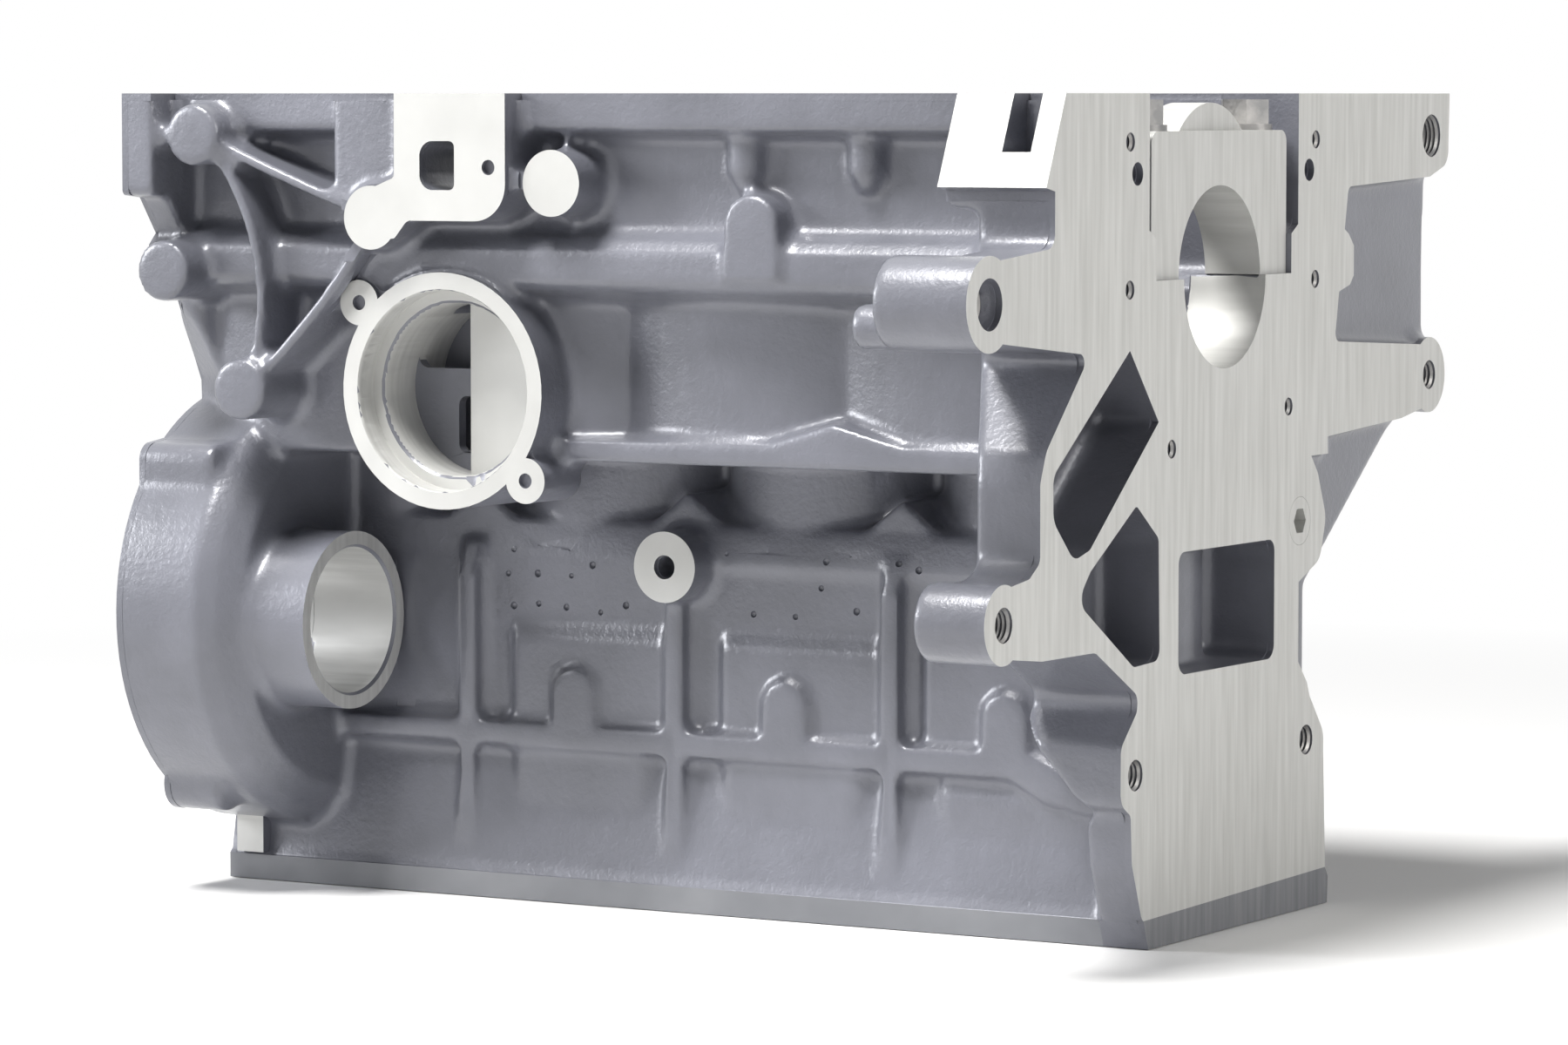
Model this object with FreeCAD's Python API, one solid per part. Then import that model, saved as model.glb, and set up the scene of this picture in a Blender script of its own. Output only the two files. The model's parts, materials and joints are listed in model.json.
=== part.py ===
import FreeCAD, Part
import math
import os

# Four-cylinder engine block, standing upside down on its deck.
# X runs along the crankshaft, with the flywheel face at +X.  Z rises from the
# deck to the pan rail.  The cylinders and the crankshaft lie over Y = 0, and
# the side with the water pump and the oil filter ring faces -Y.

# ------------------------------------------------------------ driving sizes
bore_count = 4
bore_diameter = 76.5
bore_pitch = 82.0
block_length = 357.0
crank_height = 212.0        # deck to crankshaft axis
rail_height = 59.0          # crankshaft axis to pan rail
main_bore = 59.0
bore_end = 70.0             # crankshaft axis to the open end of the cylinders

# cylinders, water jacket and deck
bore_wall = 4.5
barrel_wall = 3.3           # cylinder wall where it stands in the open
water_gap = 8.0
narrow_gap = 3.2            # water gap beside the deck
jacket_wall = 5.0
jacket_top = 112.0          # height of the water space
near_wall = 44.0            # outside of the near jacket wall, from the bore line
near_water = 40.5           # and how far the water reaches on that side
deck_thickness = 11.0
deck_near = 52.5
deck_far = 79.0
deck_band = 8.5
band_lip = 1.5
low_rib_z = 52.0
rib_height = 7.5
rib_reach = 6.0
stiffener_width = 7.0
ledge_z = 114.5             # where the near wall starts to lean in
roof_edge_z = 126.0
roof_slope = 0.27
far_shelf_z = 52.0
far_shelf_inset = 4.0

# crankcase
case_floor_drop = 61.0      # crankshaft axis down to the underside of the crankcase
floor_thickness = 7.0
case_half_width = 84.0      # outside, at the middle of a bay
case_scallop = 7.0          # how far the wall dips at each bulkhead
case_wall = 6.5
belt_drop = 5.0             # long belt at crankshaft height
belt_rise = 12.0
belt_reach = 97.0
skirt_half_width = 87.0
skirt_wall = 6.0
rail_half_width = 98.0
rail_thickness = 12.0
bulkhead_width = 18.0
end_wall = 28.5
bulkhead_rise = 13.0        # bulkhead top above the split line
slot_half_width = 53.8
throw_radius = 70.0
gallery_bore = 12.0
gallery_y = 56.4
gallery_drop = 82.2         # oil gallery below the crankshaft axis
gallery_wall = 8.0
oil_drilling = 6.0

# main bearing caps and their bolts
cap_width = 97.4
cap_length = 20.0
cap_shoulder = 47.0         # split line to the bolt seats
cap_dome = 33.0             # radius of the dome over the bore
cap_dome_centre = 23.0      # its centre above the split line
cap_dome_setback = 3.5
cap_bolt_y = 38.0
cap_bolt = 10.0
cap_bolt_head = 15.0        # across flats
cap_bolt_head_height = 8.0
cap_bolt_collar = 18.0
cap_bolt_collar_height = 2.0
cap_bolt_grip = 46.0        # thread in the block
fit = 0.1                   # clearance on each side of a seated piece
end_cap_setback = 2.0

# holes
head_bolt = 11.0
head_bolt_depth = 62.0
head_bolt_y = 44.0
coolant_hole = 7.0
drain_hole = 16.0
drain_y = 63.0
core_plug = 36.0
core_plug_depth = 9.0
core_plug_wall = 2.0
core_plug_z = 92.0
plug_diameter = 16.0
plug_length = 10.0
plug_socket = 8.0

rear_x = block_length / 2
front_x = -rear_x
rail_z = crank_height + rail_height
bore_radius = bore_diameter / 2
main_radius = main_bore / 2
jacket_half = bore_radius + bore_wall + water_gap + jacket_wall
barrel_radius = bore_radius + barrel_wall
gallery_z = crank_height - gallery_drop
case_floor_z = crank_height - case_floor_drop
belt_low_z = crank_height - belt_drop
belt_high_z = crank_height + belt_rise
bores_x = [(i - (bore_count - 1) / 2) * bore_pitch for i in range(bore_count)]
mains_x = [(i - bore_count / 2) * bore_pitch for i in range(bore_count + 1)]


# ------------------------------------------------------------ drawing helpers
def vector(x, y, z):
    return FreeCAD.Vector(x, y, z)


def on_x(u, v):
    return vector(0, u, v)


def on_y(u, v):
    return vector(u, 0, v)


def on_z(u, v):
    return vector(u, v, 0)


def outline(points, place):
    """Closed face through (u, v) points; a third number rounds that corner."""
    count = len(points)
    starts, ends, middles = [], [], []
    for i, point in enumerate(points):
        here = place(point[0], point[1])
        radius = point[2] if len(point) > 2 else 0
        before = place(*points[i - 1][:2]) - here
        after = place(*points[(i + 1) % count][:2]) - here
        before.normalize()
        after.normalize()
        if radius == 0:
            starts.append(here)
            ends.append(here)
            middles.append(None)
            continue
        half = before.getAngle(after) / 2
        reach = radius / math.tan(half)
        inward = before + after
        inward.normalize()
        starts.append(here + before * reach)
        ends.append(here + after * reach)
        middles.append(here + inward * (radius / math.sin(half) - radius))
    edges = []
    for i in range(count):
        if middles[i] is not None:
            edges.append(Part.Arc(starts[i], middles[i], ends[i]).toShape())
        step = starts[(i + 1) % count] - ends[i]
        if step.Length > 1e-6:
            edges.append(Part.LineSegment(ends[i], starts[(i + 1) % count]).toShape())
    return Part.Face(Part.Wire(edges))


def along_x(points, x0, x1):
    face = outline(points, on_x)
    face.translate(vector(x0, 0, 0))
    return face.extrude(vector(x1 - x0, 0, 0))


def along_y(points, y0, y1):
    face = outline(points, on_y)
    face.translate(vector(0, y0, 0))
    return face.extrude(vector(0, y1 - y0, 0))


def along_z(points, z0, z1):
    face = outline(points, on_z)
    face.translate(vector(0, 0, z0))
    return face.extrude(vector(0, 0, z1 - z0))


def round_x(radius, y, z, x0, x1):
    return Part.makeCylinder(radius, x1 - x0, vector(x0, y, z), vector(1, 0, 0))


def round_y(radius, x, z, y0, y1):
    return Part.makeCylinder(radius, y1 - y0, vector(x, y0, z), vector(0, 1, 0))


def round_z(radius, x, y, z0, z1):
    return Part.makeCylinder(radius, z1 - z0, vector(x, y, z0), vector(0, 0, 1))


def box(x0, x1, y0, y1, z0, z1):
    return Part.makeBox(x1 - x0, y1 - y0, z1 - z0, vector(x0, y0, z0))


def crank(y, drop):
    """A point of an end outline, given from the crankshaft axis."""
    return (y, crank_height + drop)


def joined(pieces):
    return pieces[0].fuse(pieces[1:])


# ------------------------------------------------------------ cylinder bank
def bank():
    """Deck, low walls, water jacket walls and the bare barrels above them."""
    roof_rise = (jacket_half - 16) * roof_slope
    low_near = deck_near - band_lip
    low_far = deck_far - band_lip
    section = [
        (-deck_near, 0), (-deck_near, deck_band), (-low_near, deck_band + band_lip),
        (-near_wall, low_rib_z - 5), (-near_wall, ledge_z), (-barrel_radius + 0.6, roof_edge_z + 2),
        (-16, roof_edge_z + roof_rise), (16, roof_edge_z + roof_rise),
        (jacket_half - 3, roof_edge_z), (jacket_half, roof_edge_z - 2),
        (jacket_half, far_shelf_z + 23, 8), (low_far - far_shelf_inset + 2, far_shelf_z, 6),
        (low_far, deck_band + band_lip), (deck_far, deck_band), (deck_far, 0),
    ]
    pieces = [along_x(section, front_x, rear_x)]
    for x in bores_x:
        pieces.append(round_z(barrel_radius, x, 0, jacket_top - 6, case_floor_z + 8))
    for x in mains_x[1:-1]:
        peak = [
            (x - 20, ledge_z), (x + 20, ledge_z), (x + 14, roof_edge_z + 2),
            (x, roof_edge_z + 13), (x - 14, roof_edge_z + 2),
        ]
        pieces.append(along_y(peak, -barrel_radius + 0.3, -16))
    ledge = [
        (-near_wall, ledge_z - 1), (-near_wall - 2, ledge_z + 1), (-barrel_radius - 0.5, roof_edge_z + 1),
        (-barrel_radius + 3, roof_edge_z + 1), (-barrel_radius + 3, ledge_z - 1),
    ]
    pieces.append(along_x(ledge, mains_x[2] + 8, rear_x - 36))
    return joined(pieces)


# ------------------------------------------------------------ crankcase
def scallop(side, x0, x1, deep, shallow):
    """Plan of a crankcase side: one shallow arc to each bay."""
    points = [vector(x0, 0, 0), vector(x0, side * shallow, 0)]
    edges = [Part.LineSegment(points[0], points[1]).toShape()]
    here = points[1]
    stops = [x for x in mains_x if x0 < x < x1] + [x1]
    for stop in stops:
        there = vector(stop, side * shallow, 0)
        middle = vector((here.x + stop) / 2, side * deep, 0)
        edges.append(Part.Arc(here, middle, there).toShape())
        here = there
    last = vector(x1, 0, 0)
    edges.append(Part.LineSegment(here, last).toShape())
    edges.append(Part.LineSegment(last, points[0]).toShape())
    return Part.Face(Part.Wire(edges))


def crankcase():
    """Scalloped lower walls, the belt at crankshaft height, skirt and pan rail."""
    pieces = []
    height = belt_low_z + 4 - case_floor_z
    for side in (-1, 1):
        face = scallop(side, front_x, rear_x, case_half_width, case_half_width - case_scallop)
        face.translate(vector(0, 0, case_floor_z))
        pieces.append(face.extrude(vector(0, 0, height)))
    upper = [
        (-case_half_width + 6, belt_low_z - 4),
        (-belt_reach + 3, belt_low_z), (-belt_reach, belt_low_z + 3),
        (-belt_reach, belt_high_z - 4), (-belt_reach + 4, belt_high_z),
        (-skirt_half_width, belt_high_z + 3, 4),
        (-skirt_half_width + 1, rail_z - rail_thickness - 2, 3),
        (-rail_half_width, rail_z - rail_thickness), (-rail_half_width, rail_z),
    ]
    mirrored = [(-point[0],) + tuple(point[1:]) for point in reversed(upper)]
    pieces.append(along_x(upper + mirrored, front_x, rear_x))
    low = case_floor_z - 1
    corner = [(-115, low), (-66, low), crank(-67, -38), crank(-81, -12), crank(-115, -12)]
    taper = outline(corner, on_x)
    taper.translate(vector(front_x - 1, 0, 0))
    return joined(pieces).cut(taper.extrude(vector(27, -15, 0)))


def crank_space():
    """Everything the crankshaft and rods sweep, cut from the solid crankcase."""
    inner = case_half_width - case_scallop - case_wall
    low = case_floor_z + floor_thickness
    skirt = skirt_half_width - skirt_wall
    tools = []
    left = front_x + end_wall
    right = rear_x - end_wall
    tools.append(box(left, right, -skirt, skirt, crank_height + bulkhead_rise, rail_z + 5))
    starts = [left] + [x + bulkhead_width / 2 for x in mains_x[1:-1]]
    ends = [x - bulkhead_width / 2 for x in mains_x[1:-1]] + [right]
    for x0, x1 in zip(starts, ends):
        bay = [
            (-inner, low + 8, 8), (-inner + 10, low), (inner - 10, low), (inner, low + 8, 8),
            (inner, crank_height - 6), (skirt, crank_height), (skirt, crank_height + bulkhead_rise + 1),
            (-skirt, crank_height + bulkhead_rise + 1), (-skirt, crank_height), (-inner, crank_height - 6),
        ]
        tools.append(along_x(bay, x0, x1))
        tools.append(round_x(throw_radius, 0, crank_height, x0, x1))
    tools.append(round_x(main_radius, 0, crank_height, front_x - 1, rear_x + 1))
    half = cap_width / 2 + fit
    slot = [
        (-half, crank_height), (half, crank_height), (half, crank_height + bulkhead_rise),
        (slot_half_width, crank_height + bulkhead_rise + 3), (slot_half_width, rail_z + 5),
        (-slot_half_width, rail_z + 5), (-slot_half_width, crank_height + bulkhead_rise + 3),
        (-half, crank_height + bulkhead_rise),
    ]
    tools.append(along_x(slot, front_x - 1, rear_x + 1))
    return tools


def water_space():
    """Water jacket between the deck and the jacket roof, round every cylinder."""
    outer = bore_radius + bore_wall + water_gap
    narrow = bore_radius + bore_wall + narrow_gap
    inner = bore_radius + bore_wall
    rings = [round_z(outer, x, 0, deck_thickness, jacket_top) for x in bores_x]
    space = joined(rings)
    reach = bores_x[-1] + inner - 15
    high = box(-reach, reach, -near_water, outer, low_rib_z + 8, jacket_top)
    low = box(-reach, reach, -near_water, narrow, deck_thickness, low_rib_z + 8)
    space = space.common(high.fuse(low))
    return space.cut([round_z(inner, x, 0, 0, jacket_top + 1) for x in bores_x])


# ------------------------------------------------------------ rear flange
ear_hole = 16.0
near_ear = (-158.7, -4.3, 14.7)         # y, drop from the crankshaft axis, radius
near_low_ear = (-149.4, -101.5, 12.4)
far_ear = (159.0, 44.5, 12.5)
far_low_ear = (158.5, -37.8, 13.0)
low_bolt_y = 62.0
low_bolt_drop = -155.5
low_bolt_hole = 10.0
ear_depth = 33.0
low_ear_depth = 25.0
wing_edge = 22.0            # flange thickness at its outer edge
wing_root = 38.0            # and where it leaves the crankcase
far_web_setback = 6.0
pocket_depth = 22.0


def rear_outline():
    """Machined outline of the flywheel face, down one side and up the other."""
    near = [
        (-110, 59), (-122.8, 30.2), (-117, 29), (-117, 11.8, 5), (-155, 8.6), (-155, -16),
        (-93.9, -21.8, 3), (-122.3, -50.3, 12), (-126.2, -60, 6), (-126, -84, 4), (-133, -88.6, 4),
        (-148, -90.5), (-148, -112), (-124.7, -114.4, 8), (-89.6, -114.5, 6), (-60.5, -130.4, 4),
        (-61, -135.6, 4), (-72, -146, 6),
        (-72, -164, 6), (-65, -168, 3), (-64.2, -183.5, 6), (-57.4, -201.5, 4),
    ]
    far = [
        (79.6, -203, 3), (75.4, -197, 3), (75.5, -154, 8), (64.6, -141, 6), (62.5, -136.3, 4),
        (55.7, -129, 4), (50.9, -119.7, 6), (49.5, -108.6, 4), (53.4, -103.4, 4), (72, -96, 8),
        (76.5, -82, 8), (70, -67, 6),
        (62.7, -58.5, 3), (67.4, -55.8, 3), (136, -51.8, 10), (160, -48), (160, -27.5), (82.4, -23.7, 3),
        (92.5, 27.9, 3), (158, 30.4, 4), (173, 35, 6), (173.9, 59),
    ]
    top = [(point[0], crank_height + point[1]) + tuple(point[2:]) for point in near]
    low = [(-deck_near - 3.5, deck_band + 1), (-deck_near, 0), (deck_far, 0)]
    rest = [(point[0], crank_height + point[1]) + tuple(point[2:]) for point in far]
    return top + low + rest


def rear_flange():
    """Bell-housing flange: a thick plate that thins towards its outer edge."""
    plate = along_x(rear_outline(), rear_x - wing_root, rear_x)
    plan = [
        (rear_x + 1, -180), (rear_x - wing_edge, -180),
        (rear_x - wing_edge, -126), (rear_x - wing_root, -94),
        (rear_x - wing_root, 94), (rear_x - wing_edge, 130),
        (rear_x - wing_edge, 180), (rear_x + 1, 180),
    ]
    plate = plate.common(along_z(plan, -1, rail_z + 1))
    lean = [
        (rear_x - 60, 120), (rear_x - 60, rail_z + 1), (rear_x + 1, rail_z + 1), (rear_x + 1, -1),
        (rear_x - 16, -1), (rear_x - 16, 42), (rear_x - 10, 42), (rear_x - 55, 92), (rear_x - 60, 92),
    ]
    body = box(rear_x - 60, rear_x + 1, -near_wall - 2, deck_far + 1, -1, rail_z + 1)
    plate = plate.common(along_y(lean, -190, 190).fuse(body))
    pieces = [plate]
    ears = (
        (near_ear, ear_depth), (near_low_ear, low_ear_depth),
        (far_ear, ear_depth), (far_low_ear, low_ear_depth),
    )
    for (y, drop, radius), depth in ears:
        pieces.append(round_x(radius, y, crank_height + drop, rear_x - depth, rear_x))
    boss_end = rear_x - ear_depth
    pieces.append(round_x(7, near_ear[0] + 8, crank_height - 12, boss_end - 16, boss_end + 2))
    setback = rear_x - far_web_setback
    web = [
        crank(80, 40), crank(168, 40), crank(166, 0), crank(167, -32), crank(144, -52), crank(73, -105),
        crank(73, -140), crank(40, -140), crank(40, -20),
    ]
    pieces.append(along_x(web, rear_x - wing_edge, setback))
    return joined(pieces)


def rear_pockets():
    """Lightening pockets of the flange; the square one stops at the last barrel."""
    first = [
        crank(-66.8, -21.4), crank(-46.8, -44.7), crank(-93.4, -82.3) + (6,), crank(-104, -85) + (7,),
        crank(-117.6, -72) + (8,), crank(-117.7, -58) + (6,),
    ]
    second = [
        crank(-61.9, -70.3) + (2,), crank(-46.5, -81.5) + (3,), crank(-45.5, -120.4) + (4,),
        crank(-63.5, -121.2) + (5,), crank(-101.5, -98) + (5,), crank(-93, -89) + (4,),
    ]
    square = [
        crank(-32.4, -87) + (4,), crank(37.3, -87) + (4,),
        crank(37.3, -126.3) + (5,), crank(-32.4, -126.3) + (5,),
    ]
    tools = [along_x(points, rear_x - pocket_depth, rear_x + 1) for points in (first, second)]
    deep = along_x(square, rear_x - pocket_depth - 4, rear_x + 1)
    tools.append(deep.cut(round_z(bore_radius + bore_wall, bores_x[-1], 0, 0, crank_height)))
    return tools


def rear_holes():
    """Bell-housing, seal-carrier, dowel and gallery holes of the flywheel face."""
    tools = []
    y, drop, radius = near_ear
    z = crank_height + drop
    tools.append(round_x(ear_hole / 2, y, z, rear_x - 6, rear_x + 1))
    tools.append(round_x(5.5, y, z, rear_x - ear_depth - 1, rear_x))
    y, drop, radius = near_low_ear
    tools.append(round_x(5.5, y, crank_height + drop, rear_x - low_ear_depth - 1, rear_x + 1))
    y, drop, radius = far_ear
    tools.append(round_x(7.3, y, crank_height + drop, rear_x - ear_depth - 1, rear_x + 1))
    y, drop, radius = far_low_ear
    tools.append(round_x(5, y, crank_height + drop, rear_x - low_ear_depth - 1, rear_x + 1))
    for side in (-1, 1):
        z = crank_height + low_bolt_drop
        tools.append(round_x(low_bolt_hole / 2, side * low_bolt_y, z, rear_x - 24, rear_x + 1))
        for y, drop in ((67, 43.8), (67, -2.4)):
            tools.append(round_x(3, side * y, crank_height + drop, rear_x - 16, rear_x + 1))
        tools.append(round_x(3.7, side * 62, crank_height + 33.8, rear_x - 9, rear_x + 1))
    for y, drop in ((-37.6, -53.7), (47.3, -43.9)):
        tools.append(round_x(3, y, crank_height + drop, rear_x - 16, rear_x + 1))
    return tools


# ------------------------------------------------------------ near side
def jacket_ribs():
    """Upright stiffeners, the long low rib, framed panels and their bolt pads."""
    front = -near_wall - rib_reach
    pieces = []
    upright = [(-30, 12), (front, 12), (front, ledge_z - 6), (front + 5, ledge_z + 6), (-30, ledge_z + 6)]
    for x in mains_x[1:-1]:
        half = stiffener_width / 2
        pieces.append(along_x(upright, x - half, x + half))
    low = low_rib_z
    top = low_rib_z + rib_height
    rib = [
        (front_x + 44, low), (rear_x - 52, low - 1), (rear_x - 39, low - 8), (rear_x - 20, low - 11),
        (rear_x - 2, low - 11), (rear_x - 2, low - 7), (rear_x - 11, low - 6), (rear_x - 44, top),
        (front_x + 44, top),
    ]
    pieces.append(along_y(rib, front, -30))
    return joined(pieces)


panel_start = 17.0          # from a bulkhead to the panel beyond it
pad_half = 8.3


panel_top = 96.0            # height of the panels on the near wall


def panels():
    """One raised panel to a bay above the low rib, one apron below it."""
    pieces = []
    top = low_rib_z + rib_height
    plateau = -near_wall - 3
    for number, x in enumerate(mains_x[1:-1]):
        left = x + panel_start if number < 2 else x + 12
        right = mains_x[number + 2] - 5 if number < 2 else rear_x - 38
        section = [
            (-near_wall + 3, top - 1), (plateau, top - 1), (plateau, panel_top - 8),
            (-near_wall + 1, panel_top), (-near_wall + 3, panel_top),
        ]
        pieces.append(along_x(section, left, right))
        centre = bores_x[number + 1] + 1.5
        pad = [
            (centre - pad_half, top - 1), (centre + pad_half, top - 1),
            (centre + pad_half, top + 19, pad_half - 0.1),
            (centre - pad_half, top + 19, pad_half - 0.1),
        ]
        pieces.append(along_y(pad, -near_wall - rib_reach, -near_wall + 2))
        left = x + 13
        right = mains_x[number + 2] - 7 if number < 2 else rear_x - 14
        apron = [(left, -36), (left, plateau, 9), (right, plateau, 9), (right, -36)]
        pieces.append(along_z(apron, 14, low_rib_z + 1 if number < 2 else low_rib_z - 6))
    return joined(pieces)


def case_rib():
    """Rib along the crankcase floor, peaked at a bulkhead."""
    x = mains_x[3]
    end = rear_x - wing_root + 4
    peak = [
        (-20, case_floor_z), (end, case_floor_z), (end, case_floor_z + 8), (x + 26, case_floor_z + 8),
        (x, case_floor_z + 15), (x - 24, case_floor_z + 8), (-20, case_floor_z + 7),
    ]
    return along_y(peak, -case_half_width - 3, -60)


ring_x = -58.0
ring_drop = -38.5
ring_face = 100.0
ring_radius = 39.0
ring_bore = 57.0
ring_seat = 66.0
ring_seat_depth = 9.0
ring_depth = 38.0
ring_ear = 7.5
ring_ear_hole = 5.0
ring_ear_offset = (32.6, 28.5)


def ring_boss():
    z = crank_height + ring_drop
    pieces = [round_y(ring_radius, ring_x, z, -ring_face, -ring_face + ring_depth)]
    for side in (-1, 1):
        x = ring_x + side * ring_ear_offset[0]
        ear_z = z - side * ring_ear_offset[1]
        pieces.append(round_y(ring_ear, x, ear_z, -ring_face, -case_half_width + case_scallop + 1))
    return joined(pieces)


def ring_hole():
    z = crank_height + ring_drop
    back = -ring_face + ring_depth
    tools = [
        round_y(ring_bore / 2, ring_x, z, -ring_face - 1, back + 6),
        round_y(ring_seat / 2, ring_x, z, -ring_face - 1, -ring_face + ring_seat_depth),
    ]
    for side in (-1, 1):
        x = ring_x + side * ring_ear_offset[0]
        ear_z = z - side * ring_ear_offset[1]
        tools.append(round_y(ring_ear_hole / 2, x, ear_z, -ring_face - 1, -ring_face + 14))
    return tools


pad_face = 108.0
bracket_face = 110.0
bracket_radius = 10.3
brackets = ((-151.5, 45.2), (-164.0, -0.3), (-133.0, -39.4))    # x, rise from the crankshaft axis
pump_y = -42.0
pump_z = 96.0
pump_radius = 75.0
pump_depth = 44.0
pump_round = 12.0
socket_y = -75.0
socket_z = 94.0
socket_radius = 30.0
socket_bore = 49.2
socket_length = 24.0
knock_x = 1.5
knock_z = 115.0
knock_radius = 11.8
knock_face = 57.4
pan_bolts_x = (52.0, 96.5)


def near_pads():
    """Machined pads, bosses and bracket ribs above the belt."""
    pieces = []
    low = belt_high_z + 5.5
    pad = [
        (-71, rail_z), (-27.7, rail_z), (-27.7, low, 12), (-66, low, 3), (-71, low - 6, 2),
        (-84, low - 6, 4), (-84, low + 9, 4), (-71, low + 14, 2),
    ]
    pieces.append(along_y(pad, -pad_face, -70))
    pieces.append(round_y(10.5, -80.4, low + 0.8, -pad_face, -70))
    shelf = [(-98, rail_z), (-70, rail_z), (-70, low + 6.5), (-98, low + 6.5)]
    pieces.append(along_y(shelf, -pad_face + 4, -70))
    pieces.append(round_y(10.8, -12, crank_height + 30, -pad_face + 3, -70))
    crown = crank_height + 27
    bell = [(49, belt_low_z + 4), (69, belt_low_z + 4), (69, crown, 9.9), (49, crown, 9.9)]
    pieces.append(along_y(bell, -belt_reach - 2, -70))
    for x in pan_bolts_x:
        pieces.append(round_z(6.5, x, -skirt_half_width - 1, rail_z - 25, rail_z))
        pieces.append(Part.makeCone(3, 6.5, 6, vector(x, -skirt_half_width - 1, rail_z - 31)))
    for x, rise in brackets:
        pieces.append(round_y(bracket_radius, x, crank_height + rise, -bracket_face, -60))
    pieces.append(round_y(knock_radius, knock_x, knock_z, -knock_face, -near_wall + 4))
    return joined(pieces)


def bracket_rib(start, end, bow):
    """Thin rib between two bosses, bowed sideways by the given amount."""
    (x0, z0), (x1, z1) = start, end
    span = math.hypot(x1 - x0, z1 - z0)
    across = ((z1 - z0) / span, -(x1 - x0) / span)
    half = 1.8
    inner, outer = [], []
    for part in (0.0, 0.5, 1.0):
        shift = bow * math.sin(math.pi * part)
        x = x0 + (x1 - x0) * part + across[0] * shift
        z = z0 + (z1 - z0) * part + across[1] * shift
        inner.append(vector(x - across[0] * half, 0, z - across[1] * half))
        outer.append(vector(x + across[0] * half, 0, z + across[1] * half))
    edges = [
        Part.Arc(*inner).toShape(), Part.LineSegment(inner[2], outer[2]).toShape(),
        Part.Arc(*reversed(outer)).toShape(), Part.LineSegment(outer[0], inner[0]).toShape(),
    ]
    face = Part.Face(Part.Wire(edges))
    face.translate(vector(0, -bracket_face + 4, 0))
    return face.extrude(vector(0, 30, 0))


def bracket_ribs():
    first, second, third = [(x, crank_height + rise) for x, rise in brackets]
    lug = (-80.4, belt_high_z + 6.3)
    return [bracket_rib(first, lug, 0.8), bracket_rib(first, third, -14), bracket_rib(lug, third, -3)]


def rear_pad():
    """Sloping machined pad beside the flywheel face."""
    section = [
        (-80, rail_z), (-110, rail_z), crank(-122.8, 30.2), crank(-117, 29),
        crank(-117, 24), crank(-80, 20),
    ]
    pad = along_x(section, rear_x - 38, rear_x)
    slot = box(rear_x - 18, rear_x - 8, -130, -100, rail_z - 18, rail_z + 1)
    return pad, slot


def pump_housing():
    seam = pump_depth - pump_round
    drum = round_x(pump_radius, pump_y, pump_z, front_x, front_x + seam)
    place = vector(front_x + seam, pump_y, pump_z)
    ahead = vector(1, 0, 0)
    drum = drum.fuse(Part.makeCone(pump_radius, pump_radius - 4, pump_round / 2, place, ahead))
    place = vector(front_x + seam + pump_round / 2, pump_y, pump_z)
    drum = drum.fuse(Part.makeCone(pump_radius - 4, pump_radius - 12, pump_round / 2, place, ahead))
    keep = box(front_x - 1, front_x + 60, -150, pump_y + 20, 0, pump_z + pump_radius + 1)
    pieces = [drum.common(keep)]
    roof = [
        (-103.4, 110), (-103.4, case_floor_z + 1.5, 6), (-62, case_floor_z + 6.5, 3),
        (-30, case_floor_z + 6), (-30, 110),
    ]
    pieces.append(along_x(roof, front_x, front_x + 30))
    pieces.append(round_x(9, -81.7, 36, front_x, front_x + 22))
    pipe = round_x(socket_radius, socket_y, socket_z, front_x + 20, front_x + pump_depth + socket_length)
    pieces.append(pipe)
    return joined(pieces)


def pump_cavity():
    outer = round_x(pump_radius - 12, pump_y, pump_z, front_x - 1, front_x + pump_depth - 8)
    deep = outer.common(box(front_x - 1, front_x + 60, -150, -near_wall - 8, 0, case_floor_z + 40))
    shallow = round_x(pump_radius - 14, pump_y, pump_z, front_x - 1, front_x + 8)
    mouth = front_x + pump_depth + socket_length
    bore = round_x(socket_bore / 2, socket_y, socket_z, front_x + 10, mouth + 1)
    return [deep, shallow, bore]


def front_flange():
    """Timing-side plate, with the strip that carries the front cover."""
    half = 111.7
    near = [
        crank(-half, rail_height), crank(-half, 25) + (2,), crank(-102, 24), crank(-92.5, 11) + (4,),
        crank(-80, -13) + (6,), crank(-67, -40) + (6,), crank(-66, -case_floor_drop - 1),
    ]
    far = [(-point[0],) + tuple(point[1:]) for point in reversed(near)]
    points = near + far
    return along_x(points, front_x, front_x + 12)


# ------------------------------------------------------------ far side
def far_side():
    """Oil gallery tube, drain columns and core-plug rims of the hidden side."""
    pieces = [round_x(gallery_bore / 2 + gallery_wall, gallery_y, gallery_z, front_x, rear_x)]
    for x in bores_x:
        pieces.append(round_z(drain_hole / 2 + 4, x, drain_y, deck_band, case_floor_z + 2))
    for x in mains_x[1:-1]:
        pieces.append(round_y(core_plug / 2 + 5, x, core_plug_z, 30, jacket_half + 3))
        half = stiffener_width / 2
        outside = skirt_half_width - 2
        pieces.append(box(x - half, x + half, jacket_half - 4, outside, gallery_z, crank_height))
    return joined(pieces)


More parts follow.
